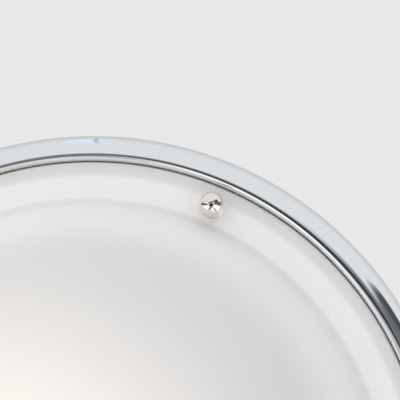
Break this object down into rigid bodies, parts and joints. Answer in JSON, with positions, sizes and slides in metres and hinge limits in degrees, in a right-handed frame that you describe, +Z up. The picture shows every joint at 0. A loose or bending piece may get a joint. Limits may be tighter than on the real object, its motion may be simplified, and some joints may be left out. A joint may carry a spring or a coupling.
{
  "type": "flush mount ceiling light",
  "caption": "Round flush mount ceiling light: chrome bullnose pan, opal glass dome with a flat flange held by ball finials on studs, and screw-base lamps inside.",
  "frame": {"origin": "centre of the cable entry in the plane of the ceiling, on the fixture's axis", "axes": "+Z up into the ceiling, the fixture hangs towards -Z; +X is the picture's right and -Y is its up"},
  "size_m": [0.362, 0.362, 0.0906],
  "materials": {
    "chrome_rim": "polished chrome on spun steel, white enamel inside",
    "opal_glass": "satin opal glass, slightly glossy",
    "nickel_knob": "polished, slightly warm nickel plate",
    "zinc_steel": "zinc-plated pressed steel",
    "rubber_black": "matt moulded rubber",
    "foam_white": "white closed-cell foam",
    "nylon_clear": "natural nylon",
    "nylon_white": "white nylon",
    "bulb_frosted": "frosted bulb glass",
    "cap_brass": "bright pressed brass",
    "cap_insulator": "black vitreous insulator with a tinned eyelet",
    "porcelain": "glazed white porcelain",
    "lead_brown": "brown sleeved wire",
    "lead_blue": "blue sleeved wire",
    "lead_green": "green and yellow sleeved wire"
  },
  "bodies": {
    "fixture": {"pan": "chrome_rim", "cable_grommet": "rubber_black", "seat_gasket": "foam_white", "stud_bracket_1": "zinc_steel", "stud_bracket_2": "zinc_steel", "stud_bracket_3": "zinc_steel", "mounting_stud_1": "zinc_steel", "mounting_stud_2": "zinc_steel", "mounting_stud_3": "zinc_steel", "bracket_rivets": "zinc_steel", "lampholder_1": "porcelain", "screw_shell_1": "cap_brass", "centre_contact_1": "cap_brass", "holder_bracket_1": "zinc_steel", "lampholder_2": "porcelain", "screw_shell_2": "cap_brass", "centre_contact_2": "cap_brass", "holder_bracket_2": "zinc_steel", "holder_screws": "zinc_steel", "foot_screws": "zinc_steel", "terminal_block": "nylon_white", "terminal_inserts": "cap_brass", "terminal_screws": "zinc_steel", "terminal_block_screw": "zinc_steel", "earth_tag": "zinc_steel", "earth_washer": "zinc_steel", "earth_screw": "zinc_steel", "lead_live_1": "lead_brown", "lead_neutral_1": "lead_blue", "lead_live_2": "lead_brown", "lead_neutral_2": "lead_blue", "earth_lead": "lead_green", "lead_clips": "nylon_white"},
    "shade": {"shade_glass": "opal_glass", "stud_bushing_1": "nylon_clear", "stud_bushing_2": "nylon_clear", "stud_bushing_3": "nylon_clear"},
    "washer_1": {"washer_1": "nickel_knob"},
    "finial_1": {"finial_1": "nickel_knob"},
    "washer_2": {"washer_2": "nickel_knob"},
    "finial_2": {"finial_2": "nickel_knob"},
    "washer_3": {"washer_3": "nickel_knob"},
    "finial_3": {"finial_3": "nickel_knob"},
    "bulb_contact_1": {"bulb_contact_1": "cap_insulator"},
    "bulb_1": {"bulb_glass_1": "bulb_frosted", "bulb_cap_1": "cap_brass"},
    "bulb_contact_2": {"bulb_contact_2": "cap_insulator"},
    "bulb_2": {"bulb_glass_2": "bulb_frosted", "bulb_cap_2": "cap_brass"}
  },
  "joints": [
    {"name": "shade_drop", "type": "slide", "parent": "fixture", "child": "shade", "axis": [0, 0, -1], "range_m": [0, 0.14]},
    {"name": "finial_1_travel", "type": "slide", "parent": "shade", "child": "washer_1", "axis": [0, 0, -1], "range_m": [0, 0.00841]},
    {"name": "finial_1_spin", "type": "hinge", "parent": "washer_1", "child": "finial_1", "pos_m": [0.06347, -0.14256, -0.03], "axis": [0, 0, -1], "range_deg": [0, 4320]},
    {"name": "finial_2_travel", "type": "slide", "parent": "shade", "child": "washer_2", "axis": [0, 0, -1], "range_m": [0, 0.00841]},
    {"name": "finial_2_spin", "type": "hinge", "parent": "washer_2", "child": "finial_2", "pos_m": [0.09172, 0.12624, -0.03], "axis": [0, 0, -1], "range_deg": [0, 4320]},
    {"name": "finial_3_travel", "type": "slide", "parent": "shade", "child": "washer_3", "axis": [0, 0, -1], "range_m": [0, 0.00841]},
    {"name": "finial_3_spin", "type": "hinge", "parent": "washer_3", "child": "finial_3", "pos_m": [-0.15519, 0.01631, -0.03], "axis": [0, 0, -1], "range_deg": [0, 4320]},
    {"name": "bulb_1_travel", "type": "slide", "parent": "fixture", "child": "bulb_contact_1", "axis": [-0.8281, 0.5606, 0], "range_m": [0, 0.02178]},
    {"name": "bulb_1_spin", "type": "hinge", "parent": "bulb_contact_1", "child": "bulb_1", "pos_m": [-0.02018, -0.02981, -0.04], "axis": [-0.8281, 0.5606, 0], "range_deg": [0, 2160]},
    {"name": "bulb_2_travel", "type": "slide", "parent": "fixture", "child": "bulb_contact_2", "axis": [0.8281, -0.5606, 0], "range_m": [0, 0.02178]},
    {"name": "bulb_2_spin", "type": "hinge", "parent": "bulb_contact_2", "child": "bulb_2", "pos_m": [0.02018, 0.02981, -0.04], "axis": [0.8281, -0.5606, 0], "range_deg": [0, 2160]}
  ],
  "couplings": [
    {"joint": "finial_1_travel", "follows": "finial_1_spin", "m_per_rad": 0.00011141},
    {"joint": "finial_2_travel", "follows": "finial_2_spin", "m_per_rad": 0.00011141},
    {"joint": "finial_3_travel", "follows": "finial_3_spin", "m_per_rad": 0.00011141},
    {"joint": "bulb_1_travel", "follows": "bulb_1_spin", "m_per_rad": 0.00057751},
    {"joint": "bulb_2_travel", "follows": "bulb_2_spin", "m_per_rad": 0.00057751}
  ]
}
